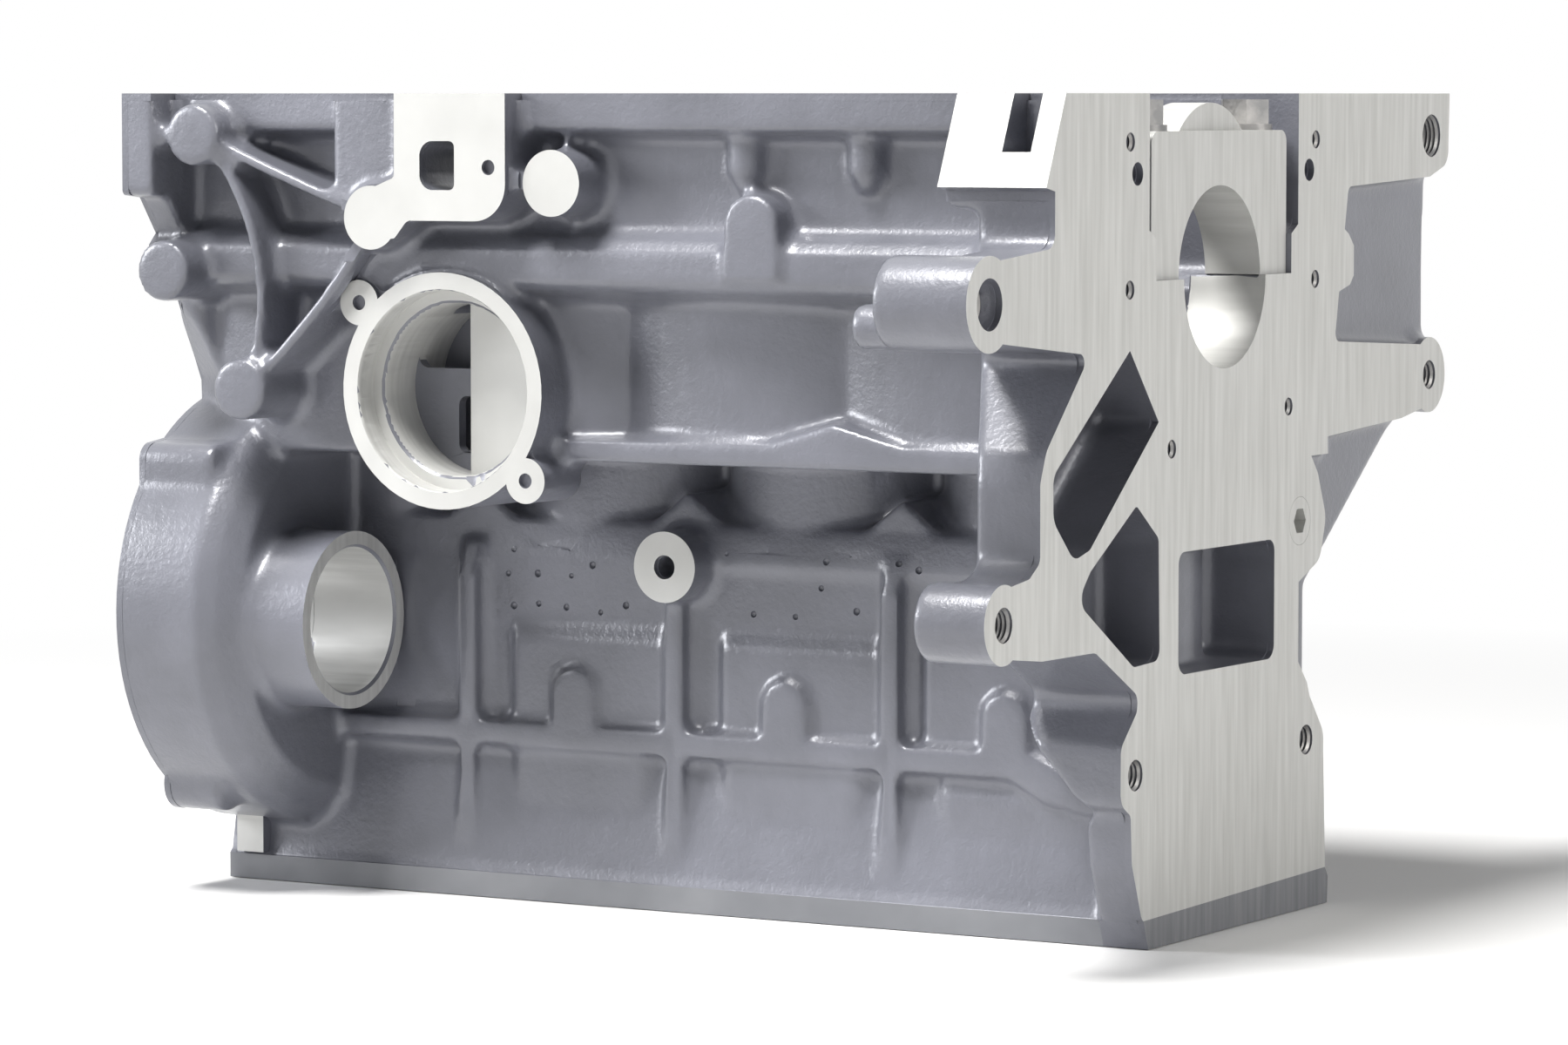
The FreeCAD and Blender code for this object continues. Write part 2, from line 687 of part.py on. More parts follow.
def far_cuts():
    tools = [round_x(gallery_bore / 2, gallery_y, gallery_z, front_x - 1, rear_x + 1)]
    for x in bores_x:
        tools.append(round_z(drain_hole / 2, x, drain_y, -1, case_floor_z + floor_thickness + 10))
    for x in mains_x[1:-1]:
        inside = jacket_half - jacket_wall - 6
        tools.append(round_y(core_plug / 2 + fit, x, core_plug_z, inside, jacket_half + 4))
    for end, direction in ((front_x, 1), (rear_x, -1)):
        seat = end + direction * (plug_length + 1)
        low, high = sorted((end - direction, seat))
        tools.append(round_x(plug_diameter / 2 + fit, gallery_y, gallery_z, low, high))
    return tools


# ------------------------------------------------------------ drillings
def deck_holes():
    tools = [round_z(bore_radius, x, 0, -1, crank_height - bore_end + 6) for x in bores_x]
    for x in mains_x:
        for side in (-1, 1):
            tools.append(round_z(head_bolt / 2, x, side * head_bolt_y, -1, head_bolt_depth))
    ring = bore_radius + bore_wall + 1.6
    for x in bores_x:
        for turn in (50, 130, 230, 310):
            angle = math.radians(turn)
            place = (x + ring * math.cos(angle), ring * math.sin(angle))
            tools.append(round_z(coolant_hole / 2, place[0], place[1], -1, deck_thickness + 3))
    return tools


def bearing_drillings():
    tools = []
    for number, x in enumerate(mains_x):
        for side in (-1, 1):
            bolt_x, bolt_y = bolt_place(number, side)
            low = crank_height - cap_bolt_grip - 4
            tools.append(round_z(cap_bolt / 2 + fit, bolt_x, bolt_y, low, crank_height + 1))
        start = vector(x, 0, crank_height - main_radius + 2)
        end = vector(x, gallery_y, gallery_z)
        run = end - start
        tools.append(Part.makeCylinder(oil_drilling / 2, run.Length, start, run))
    return tools


def near_holes():
    tools = [round_y(4, knock_x, knock_z, -knock_face - 1, -knock_face + 12)]
    low = belt_high_z + 5.5
    port = [(-61, low + 10, 5), (-47.4, low + 10, 2), (-47.4, low + 26, 2), (-61, low + 26, 5)]
    tools.append(along_y(port, -pad_face - 1, -70))
    tools.append(round_y(2.5, -34.2, low + 17.5, -pad_face - 1, -pad_face + 14))
    return tools


def block():
    pad, pad_slot = rear_pad()
    pieces = [
        bank(), crankcase(), rear_flange(), jacket_ribs(), panels(), case_rib(), ring_boss(), near_pads(),
        pad, pump_housing(), front_flange(), far_side(),
    ]
    solid = joined(pieces + bracket_ribs())
    tools = crank_space() + [water_space()] + rear_pockets() + rear_holes() + ring_hole() + pump_cavity()
    tools += far_cuts() + deck_holes() + bearing_drillings() + near_holes() + [pad_slot]
    return solid.cut(tools)


# ------------------------------------------------------------ fitted pieces
def cap_span(number):
    """Where a main cap starts and ends along the crankshaft."""
    x = mains_x[number]
    if number == 0:
        start = front_x + end_cap_setback
        return start, start + cap_length
    if number == len(mains_x) - 1:
        end = rear_x - end_cap_setback
        return end - cap_length, end
    return x - cap_length / 2, x + cap_length / 2


def bolt_place(number, side):
    start, end = cap_span(number)
    return (start + end) / 2, side * cap_bolt_y


def main_cap(number):
    start, end = cap_span(number)
    half = cap_width / 2
    shoulder = crank_height + cap_shoulder
    section = [(-half, crank_height), (-half, shoulder, 4), (half, shoulder, 4), (half, crank_height)]
    cap = along_x(section, start, end)
    inset = cap_dome_setback
    dome = round_x(cap_dome, 0, crank_height + cap_dome_centre, start + inset, end - inset)
    cap = cap.fuse(dome.common(box(start, end, -half, half, crank_height + cap_dome_centre, rail_z)))
    tools = [round_x(main_radius, 0, crank_height, start - 1, end + 1)]
    for side in (-1, 1):
        x, y = bolt_place(number, side)
        tools.append(round_z(cap_bolt / 2 + fit, x, y, crank_height - 1, shoulder + 1))
    return cap.cut(tools)


def hexagon(across, x, y, z0, z1):
    radius = across / math.sqrt(3)
    corners = []
    for i in range(6):
        angle = math.radians(60 * i)
        corners.append((x + radius * math.cos(angle), y + radius * math.sin(angle)))
    return along_z(corners, z0, z1)


def main_bolt(number, side):
    x, y = bolt_place(number, side)
    seat = crank_height + cap_shoulder
    shank = round_z(cap_bolt / 2, x, y, crank_height - cap_bolt_grip, seat + 1)
    collar = round_z(cap_bolt_collar / 2, x, y, seat, seat + cap_bolt_collar_height)
    head = hexagon(cap_bolt_head, x, y, seat, seat + cap_bolt_collar_height + cap_bolt_head_height)
    return joined([shank, collar, head])


def cup_plug(x):
    """Pressed steel cup that closes a casting hole of the water jacket."""
    face = jacket_half + 2
    cup = round_y(core_plug / 2, x, core_plug_z, face - core_plug_depth, face)
    base = face - core_plug_depth + core_plug_wall
    return cup.cut(round_y(core_plug / 2 - core_plug_wall, x, core_plug_z, base, face + 1))


def gallery_plug(end, direction):
    inner = end + direction * plug_length
    body = round_x(plug_diameter / 2, gallery_y, gallery_z, min(end, inner), max(end, inner))
    radius = plug_socket / math.sqrt(3)
    corners = []
    for i in range(6):
        angle = math.radians(60 * i)
        corners.append((gallery_y + radius * math.cos(angle), gallery_z + radius * math.sin(angle)))
    deep = end + direction * 6
    return body.cut(along_x(corners, min(end - direction, deep), max(end - direction, deep)))


def export(shape, name):
    shape.exportStep("parts/" + name + ".step")


os.makedirs("parts", exist_ok=True)
export(block(), "block")
for number in range(len(mains_x)):
    export(main_cap(number), "main_cap_" + str(number + 1))
    for side, letter in ((-1, "a"), (1, "b")):
        export(main_bolt(number, side), "main_bolt_" + str(number + 1) + letter)
for number, x in enumerate(mains_x[1:-1]):
    export(cup_plug(x), "core_plug_" + str(number + 1))
export(gallery_plug(front_x, 1), "gallery_plug_front")
export(gallery_plug(rear_x, -1), "gallery_plug_rear")
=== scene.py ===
"""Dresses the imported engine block.

The casting gets soft raw walls with crisp machined faces, threads and blow
holes, and the caps, bolts and plugs get their materials.  A pale studio and a
camera complete the scene.  Shapes are given in millimetres.
"""
import json
import math

import bmesh
import bpy
import numpy as np
from mathutils import Matrix, Vector


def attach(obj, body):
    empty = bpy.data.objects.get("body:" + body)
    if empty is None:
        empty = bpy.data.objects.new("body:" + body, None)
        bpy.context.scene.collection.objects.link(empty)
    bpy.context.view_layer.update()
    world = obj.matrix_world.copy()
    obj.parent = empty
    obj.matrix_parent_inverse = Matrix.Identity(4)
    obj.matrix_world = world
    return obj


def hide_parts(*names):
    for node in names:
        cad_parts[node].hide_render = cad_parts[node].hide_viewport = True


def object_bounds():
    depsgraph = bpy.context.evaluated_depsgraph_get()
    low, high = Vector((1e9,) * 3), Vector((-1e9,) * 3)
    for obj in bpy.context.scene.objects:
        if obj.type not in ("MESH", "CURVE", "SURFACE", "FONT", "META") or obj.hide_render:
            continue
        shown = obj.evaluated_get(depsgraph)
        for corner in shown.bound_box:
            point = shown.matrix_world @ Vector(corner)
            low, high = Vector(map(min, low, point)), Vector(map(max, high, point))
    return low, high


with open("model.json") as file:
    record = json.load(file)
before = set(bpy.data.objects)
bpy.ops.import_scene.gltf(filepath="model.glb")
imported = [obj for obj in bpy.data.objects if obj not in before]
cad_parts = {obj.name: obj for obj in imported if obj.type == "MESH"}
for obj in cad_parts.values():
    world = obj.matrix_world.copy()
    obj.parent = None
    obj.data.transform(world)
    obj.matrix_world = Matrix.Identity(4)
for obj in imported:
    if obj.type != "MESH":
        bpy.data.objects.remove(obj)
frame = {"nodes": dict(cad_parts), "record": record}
CAD_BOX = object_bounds()
MM = 0.001
LOW = [value / MM for value in CAD_BOX[0]]
HIGH = [value / MM for value in CAD_BOX[1]]
FRONT, REAR = LOW[0], HIGH[0]
DECK, RAIL = LOW[2], HIGH[2]
OPENINGS = {item["name"]: item["box_m"] for item in frame["record"]["physics"]["openings"]}

VOXEL = 1.15            # grid of the cast skin
FILLET = 1.9            # radius that closes the inner corners of the casting
SKIN = 2.2              # depth of the crisp layer behind a machined face
CRISP_OVERLAP = 0.3     # how far the exact layer runs into the cast skin
MOST_TRIANGLES = 190000
BEYOND = 1000           # farther out than any part of the block

BAND_TOP = 8.4          # machined band above the deck
DECK_NEAR = 52.5
DECK_FAR = 79
NEAR_WALL = 44
LEDGE_WALL = 45.4       # near wall where the ledge runs along it
CORNER_PADS = ((-174, -163), (REAR - 15.5, REAR - 0.1))
CORNER_PAD_HEIGHT = (9.5, 25)
CORNER_PAD_FACE = 54.5

RING_FACE = 100         # machined faces of the near side, out from the bore line
RING_STEP = 91
RING_FLOOR = 81
RING_DEEP_FLOOR = 73
RING_PLATE = 4          # thickness of both floors
PORT_FACE = 108
BOSS_FACE = 105
KNOCK_FACE = 57.4

RING_SEAT = 33.03       # radii of the machined bores
RING_BORE = 28.55
RING_FILL = 28.9        # radius of the floors set into the ring
CYLINDER = 38.3
MAIN_BORE = 29.5
SOCKET = 24.64
SOCKET_Y = -75
SOCKET_END = FRONT + 68
BORE_SIDES = 128
FILLING_HALF = 7        # half the width of the fillings behind the near wall

THREAD_PITCH = 1.5
THREAD_DEPTH = 14
THREAD_SIDES = 40
LEAST_THREADED = 2.8    # smaller holes are plain
DOWEL_HOLE = 3.7        # and so are the dowel holes
COUNTERSUNK = 7.9       # a wider mouth leads to a narrower threaded hole
COUNTERSUNK_THREAD = 5.5


def middle(name, axis):
    """Middle of a stated opening along one axis, in millimetres."""
    low, high = OPENINGS[name]
    return (low[axis] + high[axis]) / 2 / MM


def ring_centre():
    return middle("filter_ring", 0), middle("filter_ring", 2)


def socket_centre():
    return SOCKET_Y, middle("pump_inlet", 2)


def cylinder_centres():
    return [(middle("cylinder_%d" % number, 0), 0) for number in range(1, 5)]


# ------------------------------------------------------------ mesh helpers
def link(name, mesh):
    piece = bpy.data.objects.new(name, mesh)
    bpy.context.scene.collection.objects.link(piece)
    return piece


def from_bmesh(name, form):
    mesh = bpy.data.meshes.new(name)
    form.to_mesh(mesh)
    form.free()
    return link(name, mesh)


def baked(piece):
    """Applies every modifier of a piece to its mesh."""
    graph = bpy.context.evaluated_depsgraph_get()
    graph.update()
    mesh = bpy.data.meshes.new_from_object(piece.evaluated_get(graph))
    old = piece.data
    piece.modifiers.clear()
    piece.data = mesh
    bpy.data.meshes.remove(old)
    return piece


def drop(piece):
    mesh = piece.data
    bpy.data.objects.remove(piece)
    bpy.data.meshes.remove(mesh)


def welded_copy(node):
    form = bmesh.new()
    form.from_mesh(frame["nodes"][node].data)
    bmesh.ops.remove_doubles(form, verts=form.verts, dist=2e-6)
    return from_bmesh(node + "_copy", form)


def box_piece(x0, x1, y0, y1, z0, z1):
    form = bmesh.new()
    bmesh.ops.create_cube(form, size=MM)
    for corner in form.verts:
        corner.co.x = (x0 if corner.co.x < 0 else x1) * MM
        corner.co.y = (y0 if corner.co.y < 0 else y1) * MM
        corner.co.z = (z0 if corner.co.z < 0 else z1) * MM
    return from_bmesh("box", form)


def turned(axis, centre, profile, sides=96):
    """Solid of revolution along an axis, from (along, radius) pairs.

    The centre gives the other two coordinates.
    """
    form = bmesh.new()
    rings = []
    for along, radius in profile:
        ring = []
        for step in range(sides):
            angle = 2 * math.pi * step / sides
            u = centre[0] + radius * math.cos(angle)
            v = centre[1] + radius * math.sin(angle)
            place = {"x": (along, u, v), "y": (u, along, v), "z": (u, v, along)}[axis]
            ring.append(form.verts.new(Vector(place) * MM))
        rings.append(ring)
    for lower, upper in zip(rings, rings[1:]):
        for step in range(sides):
            after = (step + 1) % sides
            form.faces.new((lower[step], lower[after], upper[after], upper[step]))
    form.faces.new(rings[0])
    form.faces.new(rings[-1])
    bmesh.ops.recalc_face_normals(form, faces=form.faces)
    return from_bmesh("turned", form)


def united(pieces):
    """One closed piece from several that may overlap."""
    first = pieces[0]
    for other in pieces[1:]:
        combine(first, other, "UNION")
        drop(other)
    return first


def combine(piece, other, operation):
    tool = piece.modifiers.new("combine", "BOOLEAN")
    tool.operation = operation
    tool.solver = "MANIFOLD"
    tool.object = other
    baked(piece)


def remesh(piece, voxel):
    grid = piece.modifiers.new("grid", "REMESH")
    grid.mode = "VOXEL"
    grid.voxel_size = voxel * MM
    baked(piece)


def smooth(piece, factor, rounds):
    soft = piece.modifiers.new("soft", "SMOOTH")
    soft.factor = factor
    soft.iterations = rounds
    baked(piece)


def swell(piece, distance):
    """Moves the skin along its own normals."""
    mesh = piece.data
    count = len(mesh.vertices)
    place = np.empty(count * 3, np.float32)
    normal = np.empty(count * 3, np.float32)
    mesh.vertices.foreach_get("co", place)
    mesh.vertex_normals.foreach_get("vector", normal)
    mesh.vertices.foreach_set("co", place + normal * distance * MM)
    mesh.update()


# ------------------------------------------------------------ casting
# Boxes in which the shape stays exactly as machined: x0, x1, y0, y1, z0, z1
CRISP = [
    (REAR - SKIN, REAR + 5, -190, 190, DECK - 5, RAIL + 5),
    (FRONT - 5, FRONT + SKIN, -190, 190, DECK - 5, RAIL + 5),
    (FRONT - 5, REAR + 5, -190, 190, DECK - 5, BAND_TOP),
    (FRONT - 5, REAR + 5, -190, 190, RAIL - SKIN, RAIL + 5),
    (-108, -8, -102, -98.2, 128, 218),                          # filter ring
    (-93, -25, -112, -106, 216, RAIL + 5),                      # port pad
    (-25, 1, -112, -103, 229, 255),                             # boss beside it
    (REAR - 39, REAR + 5, -126, -102, 238, RAIL + 5),           # sloping pad
    (-12, 15, -62, -55.4, 101, 129),                            # knock boss
    (FRONT + 64.5, FRONT + 72, -108, -42, 62, 126),             # pump socket
]


def prism(x0, x1, section):
    """Solid along X with the given (y, z) section."""
    form = bmesh.new()
    ends = [[form.verts.new(Vector((x, y, z)) * MM) for y, z in section] for x in (x0, x1)]
    form.faces.new(ends[0])
    form.faces.new(ends[1])
    for step in range(len(section)):
        after = (step + 1) % len(section)
        form.faces.new((ends[0][step], ends[0][after], ends[1][after], ends[1][step]))
    bmesh.ops.recalc_face_normals(form, faces=form.faces)
    return from_bmesh("prism", form)


def wall_fillings():
    """Keeps the near wall whole over the head-bolt holes that run close behind it."""
    section = [(-37, 9.5), (-50.8, 10), (-44.02, 47), (-44.02, 64), (-37, 64)]
    pitch = middle("cylinder_2", 0) - middle("cylinder_1", 0)
    mains = [place * pitch for place in (-2, -1, 0, 1, 2)]
    return [prism(x - FILLING_HALF, x + FILLING_HALF, section) for x in mains]


def exact_bores():
    """Machined bores and countersunk hole mouths, cut into the cast skin."""
    ring = (
        (-101.5, 34.6), (-99.4, RING_SEAT), (-RING_STEP, RING_SEAT),
        (-RING_STEP, RING_BORE), (-56, RING_BORE),
    )
    socket = ((-144, SOCKET), (SOCKET_END - 1, SOCKET), (SOCKET_END + 1, 26.4))
    cylinder = ((DECK - 1, 39.8), (DECK + 0.6, CYLINDER), (147.9, CYLINDER))
    tools = [turned("y", ring_centre(), ring, BORE_SIDES)]
    tools.append(turned("x", socket_centre(), socket, BORE_SIDES))
    tools += [turned("z", centre, cylinder, BORE_SIDES) for centre in cylinder_centres()]
    return tools


def soften(piece, radius):
    """Rounds the corners of a cutter."""
    edge = piece.modifiers.new("edge", "BEVEL")
    edge.width = radius * MM
    edge.segments = 5
    edge.limit_method = "NONE"
    baked(piece)


def ring_floor():
    """Machined half floor inside the ring, over a deeper one with a window and a slot."""
    x, z = ring_centre()
    floor, deep = [
        turned("y", (x, z), ((-face, RING_FILL), (-face + RING_PLATE, RING_FILL)))
        for face in (RING_FLOOR, RING_DEEP_FLOOR)
    ]
    window = box_piece(x - 27, x - 3, -76, -66, z + 6, z + 30)
    slot = box_piece(x - 11, x - 3, -76, -66, z - 22, z - 3)
    recess = box_piece(x - 40, x - 1, -95, -75, z - 40, z + 40)
    for piece, target, radius in ((window, deep, 3.9), (slot, deep, 3), (recess, floor, 6)):
        soften(piece, radius)
        combine(target, piece, "DIFFERENCE")
        drop(piece)
    combine(floor, deep, "UNION")
    drop(deep)
    return floor


def wall_pits():
    """Small blow holes that dot the near jacket wall."""
    rng = np.random.default_rng(4)
    form = bmesh.new()
    pits = [(x, z) for x in (-67.5, -56.5, -44.5) for z in (98.5, 109, 118.5)]
    pits += [(-33, 98), (-35, 113), (-22, 101), (18, 119), (34, 120), (51, 122), (57, 119)]
    pits += [(64, 121), (29, 98.5), (43, 100), (54, 108), (67, 101), (84, 119), (92, 117)]
    pits += [(100, 121), (90, 99)]
    for x, z in pits:
        wall = LEDGE_WALL if z > 114 and x > 8 else NEAR_WALL
        place = (x + rng.uniform(-1.3, 1.3), -wall, z + rng.uniform(-1.3, 1.3))
        radius = rng.uniform(0.9, 1.4)
        matrix = Matrix.Translation(Vector(place) * MM)
        bmesh.ops.create_icosphere(form, subdivisions=2, radius=radius * MM, matrix=matrix)
    return from_bmesh("pits", form)


def soft_skin(exact):
    """The casting with filled inner corners and rounded edges, as it leaves the mould."""
    cast = united([link("casting", exact.data.copy())] + wall_fillings())
    remesh(cast, VOXEL)
    swell(cast, FILLET)
    remesh(cast, VOXEL)
    swell(cast, -FILLET)
    remesh(cast, VOXEL)
    smooth(cast, 0.5, 3)
    return cast


def put_back_crisp(cast, exact):
    """Swaps the soft skin for the exact shape inside the crisp boxes."""
    trim = united([box_piece(*limits) for limits in CRISP])
    combine(cast, trim, "DIFFERENCE")
    step = CRISP_OVERLAP
    grown = [
        [value + (step if place % 2 else -step) for place, value in enumerate(limits)]
        for limits in CRISP
    ]
    keep = united([box_piece(*limits) for limits in grown])
    crisp = link("crisp", exact.data.copy())
    combine(crisp, keep, "INTERSECT")
    combine(cast, crisp, "UNION")
    for scrap in (trim, keep, crisp):
        drop(scrap)


def casting():
    """The whole dressed casting, and the round holes of its rear face."""
    exact = welded_copy("block")
    cast = soft_skin(exact)
    put_back_crisp(cast, exact)
    pads = [box_piece(*ends, -CORNER_PAD_FACE, -48, *CORNER_PAD_HEIGHT) for ends in CORNER_PADS]
    steps = [(united(exact_bores()), "DIFFERENCE"), (ring_floor(), "UNION")]
    steps += [(pad, "UNION") for pad in pads]
    steps += [(wall_pits(), "DIFFERENCE")]
    for tool, operation in steps:
        combine(cast, tool, operation)
        drop(tool)
    triangles = sum(len(face.vertices) - 2 for face in cast.data.polygons)
    thin = cast.modifiers.new("thin", "DECIMATE")
    thin.ratio = min(1.0, MOST_TRIANGLES / triangles)
    baked(cast)
    mouths = rear_mouths(exact)
    drop(exact)
    return cast, mouths


def rear_mouths(exact):
    """Centres (y, z) and radii of the round holes in the rear face of the exact block."""
    form = bmesh.new()
    form.from_mesh(exact.data)

    def flat(face):
        return abs(face.normal.x) > 0.99 and abs(face.calc_center_median().x / MM - REAR) < 0.05

    rim = {}
    for edge in form.edges:
        if len(edge.link_faces) == 2 and flat(edge.link_faces[0]) != flat(edge.link_faces[1]):
            first, second = edge.verts
            rim.setdefault(first, []).append(second)
            rim.setdefault(second, []).append(first)
    mouths = []
    seen = set()
    for start in rim:
        if start in seen:
            continue
        loop, line = [], [start]
        while line:
            corner = line.pop()
            if corner not in seen:
                seen.add(corner)
                loop.append([corner.co.y / MM, corner.co.z / MM])
                line.extend(rim[corner])
        points = np.array(loop)
        centre = (points.min(0) + points.max(0)) / 2
        reach = np.hypot(*(points - centre).T)
        if len(points) > 9 and reach.max() - reach.min() < 0.15 and reach.mean() < 9:
            mouths.append((float(centre[0]), float(centre[1]), float(reach.mean())))
    form.free()
    return sorted(mouths)


def thread(centre, radius, start):
    """Cut thread inside a hole along X: a closed ring with a toothed inner side."""
    end = start - THREAD_DEPTH
    outside = radius + 0.25
    crest = radius - 0.02
    profile = [(start, outside)]
    for tooth in range(int(THREAD_DEPTH / THREAD_PITCH)):
        along = start - tooth * THREAD_PITCH
        profile += [(along, crest), (along - THREAD_PITCH / 2, radius - 0.55 * THREAD_PITCH)]
    profile += [(end, crest), (end, outside)]
    turn = [2 * math.pi * step / THREAD_SIDES for step in range(THREAD_SIDES)]
    form = bmesh.new()
    rings = []
    for along, reach in profile:
        ring = []
        for angle in turn:
            y = centre[0] + reach * math.cos(angle)
            z = centre[1] + reach * math.sin(angle)
            ring.append(form.verts.new(Vector((along, y, z)) * MM))
        rings.append(ring)
    for ring, other in zip(rings, rings[1:] + rings[:1]):
        for step in range(THREAD_SIDES):
            after = (step + 1) % THREAD_SIDES
            form.faces.new((ring[step], ring[after], other[after], other[step]))
    bmesh.ops.recalc_face_normals(form, faces=form.faces)
    return form


def threads(mouths, material):
    """A thread in each threaded hole of the rear face."""
    for number, (y, z, radius) in enumerate(mouths):
        if radius < LEAST_THREADED or abs(radius - DOWEL_HOLE) < 0.1:
            continue
        if radius > COUNTERSUNK:
            form = thread((y, z), COUNTERSUNK_THREAD, REAR - 6.2)
        else:
            form = thread((y, z), radius, REAR - 0.8)
        piece = from_bmesh("thread_%d" % number, form)
        piece.data.materials.append(material)
        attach(piece, "root")


# ------------------------------------------------------------ materials
class Nodes:
    """A node tree, with short ways to add nodes and wire them."""

    def __init__(self, tree):
        self.tree = tree
        tree.nodes.clear()

    def node(self, kind, **settings):
        made = self.tree.nodes.new(kind)
        for key, value in settings.items():
            setattr(made, key, value)
        return made

    def wire(self, source, target):
        self.tree.links.new(source, target)

    def seen(self):
        """One for camera and glossy rays, nought for the light itself."""
        ray = self.node("ShaderNodeLightPath")
        either = self.node("ShaderNodeMath", operation="MAXIMUM")
        self.wire(ray.outputs["Is Camera Ray"], either.inputs[0])
        self.wire(ray.outputs["Is Glossy Ray"], either.inputs[1])
        return either.outputs[0]

    def blend(self, factor, first, second, output):
        made = self.node("ShaderNodeMixShader")
        for number, source in enumerate((factor, first, second)):
            self.wire(source, made.inputs[number])
        self.wire(made.outputs[0], output)


class Shader(Nodes):
    """A node material around one Principled shader."""

    def __init__(self, name):
        self.material = bpy.data.materials.new(name)
        self.material.use_nodes = True
        super().__init__(self.material.node_tree)
        self.output = self.node("ShaderNodeOutputMaterial")
        self.skin = self.node("ShaderNodeBsdfPrincipled")
        self.wire(self.skin.outputs[0], self.output.inputs[0])
        self.place = self.node("ShaderNodeTexCoord").outputs["Object"]

    def noise(self, scale, detail=4.0, roughness=0.5, stretch=None):
        source = self.place
        if stretch:
            mapping = self.node("ShaderNodeMapping")
            mapping.inputs["Rotation"].default_value = stretch[0]
            mapping.inputs["Scale"].default_value = stretch[1]
            self.wire(source, mapping.inputs["Vector"])
            source = mapping.outputs[0]
        made = self.node("ShaderNodeTexNoise")
        made.inputs["Scale"].default_value = scale
        made.inputs["Detail"].default_value = detail
        made.inputs["Roughness"].default_value = roughness
        self.wire(source, made.inputs["Vector"])
        return made.outputs["Fac"]

    def ramp(self, source, *stops):
        made = self.node("ShaderNodeValToRGB")
        line = made.color_ramp.elements
        while len(line) < len(stops):
            line.new(0.5)
        for element, (position, colour) in zip(line, stops):
            element.position = position
            element.color = (*colour, 1.0)
        self.wire(source, made.inputs[0])
        return made.outputs[0]

    def spread(self, source, low, high, out_low, out_high):
        made = self.node("ShaderNodeMapRange")
        for number, value in zip((1, 2, 3, 4), (low, high, out_low, out_high)):
            made.inputs[number].default_value = value
        self.wire(source, made.inputs[0])
        return made.outputs[0]

    def bump(self, source, strength, distance, below=None):
        made = self.node("ShaderNodeBump")
        made.inputs["Strength"].default_value = strength
        made.inputs["Distance"].default_value = distance * MM
        self.wire(source, made.inputs["Height"])
        if below is not None:
            self.wire(below, made.inputs["Normal"])
        return made.outputs[0]


def cast_paint():
    """Grey foundry coat: sandy, half glossy and a little cloudy."""
    shade = Shader("cast_iron_coat")
    cloud = shade.noise(14, 4, 0.6)
    colour = shade.ramp(cloud, (0.3, (0.12, 0.124, 0.145)), (0.7, (0.18, 0.185, 0.218)))
    shade.wire(colour, shade.skin.inputs["Base Color"])
    shade.skin.inputs["Metallic"].default_value = 0.15
    shade.skin.inputs["Coat Weight"].default_value = 0.5
    shade.skin.inputs["Coat Roughness"].default_value = 0.28
    sand = shade.noise(1100, 2, 0.6)
    lumps = shade.noise(420, 2, 0.5)
    rough = shade.spread(cloud, 0.3, 0.7, 0.3, 0.4)
    shade.wire(rough, shade.skin.inputs["Roughness"])
    normal = shade.bump(sand, 0.55, 0.16)
    normal = shade.bump(lumps, 0.6, 0.3, normal)
    shade.wire(normal, shade.skin.inputs["Normal"])
    return shade.material


def machined(name="machined_iron", dark=(0.48, 0.48, 0.465), light=(0.58, 0.58, 0.565)):
    """Milled iron: pale, with faint slanting cutter marks."""
    shade = Shader(name)
    streak = shade.noise(1, 3, 0.5, ((0.75, 0.35, 0.2), (25, 420, 25)))
    blot = shade.noise(18, 3)
    colour = shade.ramp(streak, (0.3, dark), (0.7, light))
    shade.wire(colour, shade.skin.inputs["Base Color"])
    shade.skin.inputs["Metallic"].default_value = 0.3
    rough = shade.spread(blot, 0.3, 0.7, 0.45, 0.6)
    shade.wire(rough, shade.skin.inputs["Roughness"])
    shade.wire(shade.bump(streak, 0.08, 0.03), shade.skin.inputs["Normal"])
    return shade.material


def dark_steel():
    """Blackened bolt steel."""
    shade = Shader("bolt_steel")
    colour = shade.ramp(shade.noise(120, 4), (0.35, (0.20, 0.20, 0.20)), (0.65, (0.34, 0.33, 0.32)))
    shade.wire(colour, shade.skin.inputs["Base Color"])
    shade.skin.inputs["Metallic"].default_value = 0.9
    fine = shade.noise(800, 3)
    shade.wire(shade.spread(fine, 0.3, 0.7, 0.3, 0.45), shade.skin.inputs["Roughness"])
    shade.wire(shade.bump(fine, 0.3, 0.05), shade.skin.inputs["Normal"])
    return shade.material


# Machined planes: axis, level, and the x, y and z ranges where the plane is bright
ALL = (-BEYOND, BEYOND)
PLANES = (
    (0, REAR, ALL, ALL, ALL),
    (0, FRONT, ALL, ALL, ALL),
    (2, DECK, ALL, ALL, ALL),
    (2, RAIL, ALL, ALL, ALL),
    (1, -RING_FACE, (-108, -8), ALL, (125, 220)),
    (1, -RING_STEP, ALL, ALL, ALL),
    (1, -PORT_FACE, (-BEYOND, -24), ALL, (215, BEYOND)),
    (1, -BOSS_FACE, (-25, 2), ALL, (225, BEYOND)),
    (1, -KNOCK_FACE, (-12, 15), ALL, (100, 130)),
    (1, -CORNER_PAD_FACE, ALL, ALL, (9, 25.5)),
    (0, SOCKET_END, ALL, (-BEYOND, -40), (60, 130)),
)
BAND_PLANES = (
    (0, REAR, ALL, ALL, (-BEYOND, 8.4)),
    (1, -DECK_NEAR, ALL, ALL, (-BEYOND, 8.6)),
    (1, DECK_FAR, ALL, ALL, (-BEYOND, 8.6)),
)


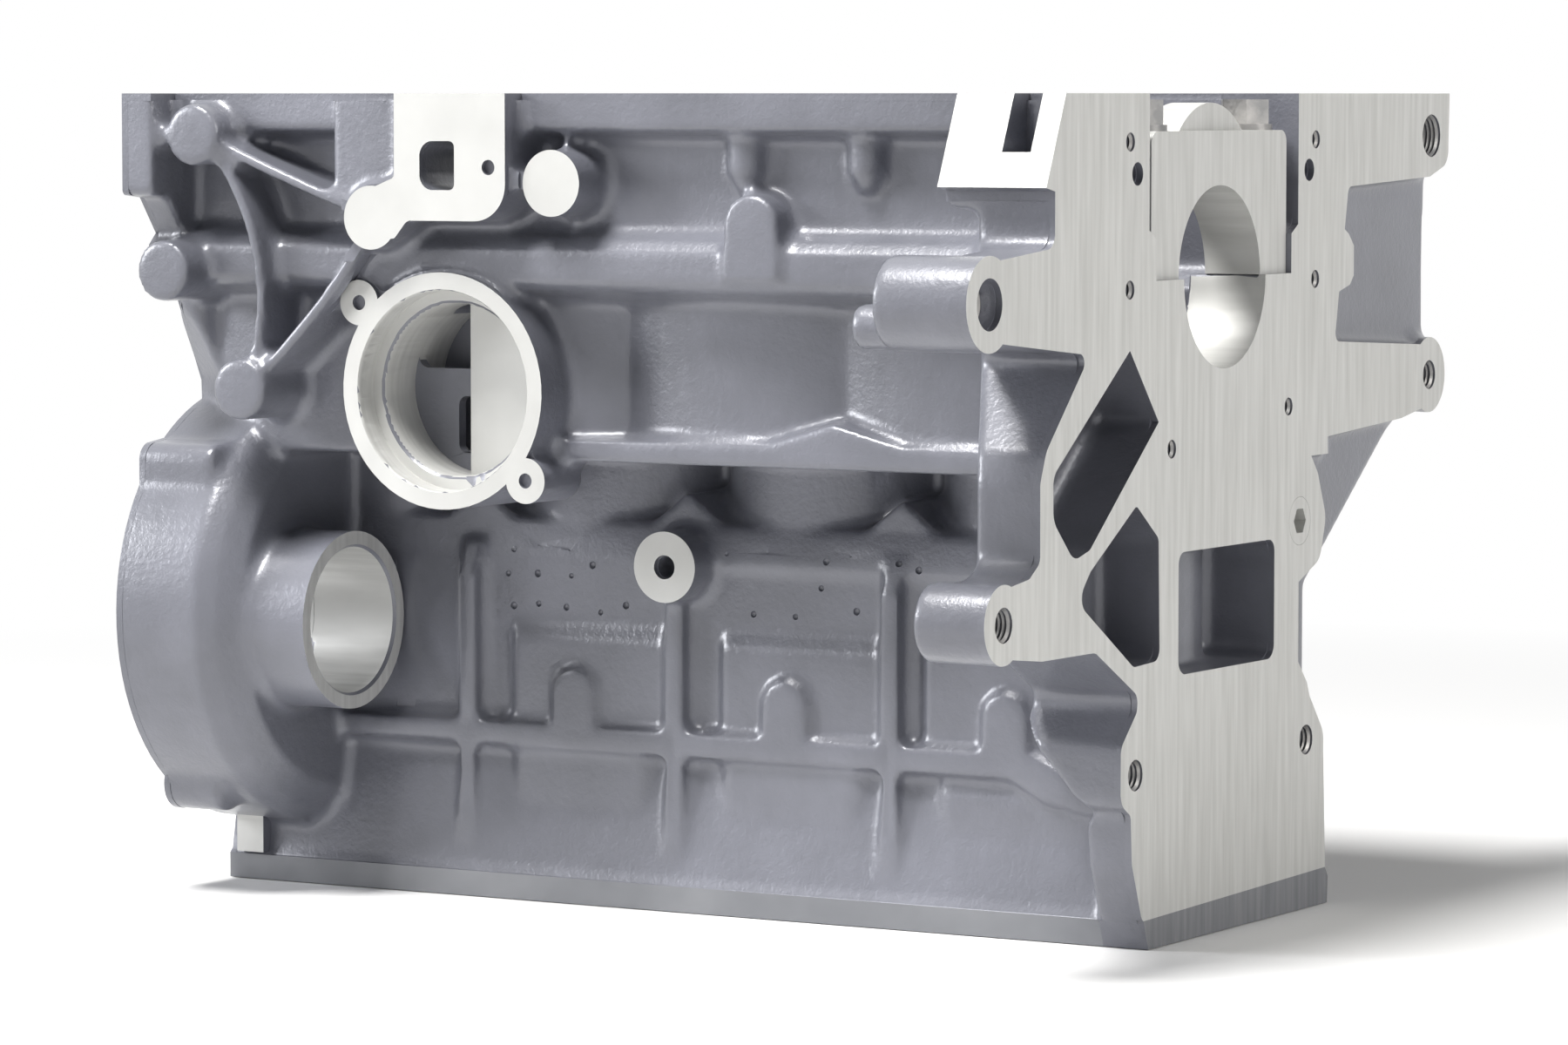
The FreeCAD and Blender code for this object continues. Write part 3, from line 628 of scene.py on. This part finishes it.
def sort_faces(piece):
    """Sorts the casting's faces by material: 0 raw, 1 machined, 2 band above the deck."""
    mesh = piece.data
    count = len(mesh.polygons)
    centre = np.empty(count * 3, np.float32)
    normal = np.empty(count * 3, np.float32)
    mesh.polygons.foreach_get("center", centre)
    mesh.polygons.foreach_get("normal", normal)
    centre = centre.reshape(-1, 3) / MM
    normal = normal.reshape(-1, 3)
    x, y, z = centre.T

    def plane(axis, level, *ranges):
        flat = np.abs(centre[:, axis] - level) < 0.06
        flat &= np.abs(normal[:, axis]) > 0.98
        for along, (low, high) in zip((x, y, z), ranges):
            flat &= (along > low) & (along < high)
        return flat

    def bore(first, second, at, radius):
        off = np.hypot(centre[:, first] - at[0], centre[:, second] - at[1])
        return np.abs(off - radius) < 0.25

    machined_faces = np.logical_or.reduce([plane(*row) for row in PLANES])
    machined_faces |= (x > REAR - 38.5) & (y < -104) & (z > 241) & (normal[:, 1] < -0.8)
    for place in cylinder_centres():
        machined_faces |= bore(0, 1, place, CYLINDER) & (z < 149)
    machined_faces |= bore(1, 2, (0, middle("crank_tunnel", 2)), MAIN_BORE)
    machined_faces |= bore(1, 2, socket_centre(), SOCKET) & (x < -109)
    ring = ring_centre()
    machined_faces |= bore(0, 2, ring, RING_SEAT) & (y < 1 - RING_STEP)
    machined_faces |= bore(0, 2, ring, RING_BORE) & (y < -57)
    inside = np.hypot(x - ring[0], z - ring[1]) < 29
    machined_faces |= plane(1, -RING_FLOOR, ALL, ALL, ALL) & inside
    index = machined_faces.astype(np.int32)
    index[np.logical_or.reduce([plane(*row) for row in BAND_PLANES])] = 2
    mesh.polygons.foreach_set("material_index", index)
    mesh.polygons.foreach_set("use_smooth", np.ones(count, bool))
    mesh.update()


def sharp_edges(piece, angle):
    """Marks edges sharp where the material changes or the faces turn by more than the angle."""
    form = bmesh.new()
    form.from_mesh(piece.data)
    for edge in form.edges:
        faces = edge.link_faces
        if len(faces) == 2:
            apart = faces[0].material_index != faces[1].material_index
            edge.smooth = not (apart or faces[0].normal.angle(faces[1].normal, 0) > angle)
    form.to_mesh(piece.data)
    form.free()


def dress(node, material):
    """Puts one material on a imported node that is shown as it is."""
    part = frame["nodes"][node]
    if not part.material_slots:
        part.data.materials.append(material)
    for place in part.material_slots:
        place.material = material


coat = cast_paint()
bright = machined()
steel = dark_steel()
body, mouths = casting()
body.name = "block_casting"
body.data.name = "block_casting"
body.data.materials.clear()
for material in (coat, bright, machined("deck_band", (0.17, 0.175, 0.19), (0.24, 0.245, 0.26))):
    body.data.materials.append(material)
sort_faces(body)
sharp_edges(body, math.radians(38))
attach(body, "root")
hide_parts("block")
threads(mouths, steel)

for name in frame["nodes"]:
    if name.startswith("main_bolt"):
        dress(name, steel)
    elif name != "block":
        dress(name, bright)


# ------------------------------------------------------------ studio
# name, place in metres, width, watts, colour
LAMPS = (
    ("top", (-0.25, -0.7, 1.7), 0.6, 50, (1.0, 0.99, 0.97)),
    ("left", (-1.75, -1.0, 0.8), 0.7, 26, (0.97, 0.98, 1.0)),
    ("right", (1.8, 0.3, 0.9), 1.0, 15, (1.0, 0.98, 0.95)),
)
LAMP_AIM = Vector((0, 0, 0.13))
FLOOR_HALF = 6.0            # metres
FLOOR_FADE = (0.25, 1.1)    # distances between which the floor turns white
FLOOR_GAP = 0.0003
WORLD_LIGHT = 0.08
CAMERA_PLACE = (1.0433, -1.7482, 0.2702)
CAMERA_LENS = 138.62
CAMERA_TILT = 4.044         # degrees below the horizon
CAMERA_TURN = 30.5


def lay_floor():
    """Pale floor that keeps the shadow and fades to white farther out."""
    form = bmesh.new()
    bmesh.ops.create_grid(form, x_segments=1, y_segments=1, size=FLOOR_HALF)
    floor = from_bmesh("floor", form)
    floor.location.z = CAD_BOX[0][2] - FLOOR_GAP
    shade = Shader("pale_floor")
    shade.skin.inputs["Base Color"].default_value = (0.86, 0.86, 0.86, 1)
    shade.skin.inputs["Roughness"].default_value = 0.9
    far = shade.node("ShaderNodeVectorMath", operation="LENGTH")
    shade.wire(shade.place, far.inputs[0])
    fade = shade.node("ShaderNodeMath", operation="MULTIPLY")
    shade.wire(shade.spread(far.outputs["Value"], *FLOOR_FADE, 0.0, 1.0), fade.inputs[0])
    shade.wire(shade.seen(), fade.inputs[1])
    glow = shade.node("ShaderNodeEmission")
    shade.blend(fade.outputs[0], shade.skin.outputs[0], glow.outputs[0], shade.output.inputs[0])
    floor.data.materials.append(shade.material)


def light_world():
    """White to the camera and in reflections, with only a little light of its own."""
    world = bpy.data.worlds.new("studio")
    bpy.context.scene.world = world
    world.use_nodes = True
    sky = Nodes(world.node_tree)
    output = sky.node("ShaderNodeOutputWorld")
    soft = sky.node("ShaderNodeBackground")
    soft.inputs[0].default_value = (0.92, 0.96, 1.0, 1)
    soft.inputs[1].default_value = WORLD_LIGHT
    white = sky.node("ShaderNodeBackground")
    white.inputs[0].default_value = (1, 1, 1, 1)
    sky.blend(sky.seen(), soft.outputs[0], white.outputs[0], output.inputs[0])


def hang_lamps():
    for name, place, size, power, tint in LAMPS:
        data = bpy.data.lights.new(name, "AREA")
        data.shape = "DISK"
        data.size = size
        data.energy = power
        data.color = tint
        lamp = bpy.data.objects.new(name, data)
        lamp.location = place
        lamp.rotation_euler = (LAMP_AIM - Vector(place)).to_track_quat("-Z", "Y").to_euler()
        bpy.context.scene.collection.objects.link(lamp)


def set_camera():
    view = bpy.data.cameras.new("view")
    view.sensor_width = 36
    view.lens = CAMERA_LENS
    camera = bpy.data.objects.new("view", view)
    camera.location = CAMERA_PLACE
    camera.rotation_euler = (math.radians(90 - CAMERA_TILT), 0, math.radians(CAMERA_TURN))
    bpy.context.scene.collection.objects.link(camera)
    bpy.context.scene.camera = camera
    bpy.context.scene.view_settings.view_transform = "Standard"


lay_floor()
light_world()
hang_lamps()
set_camera()
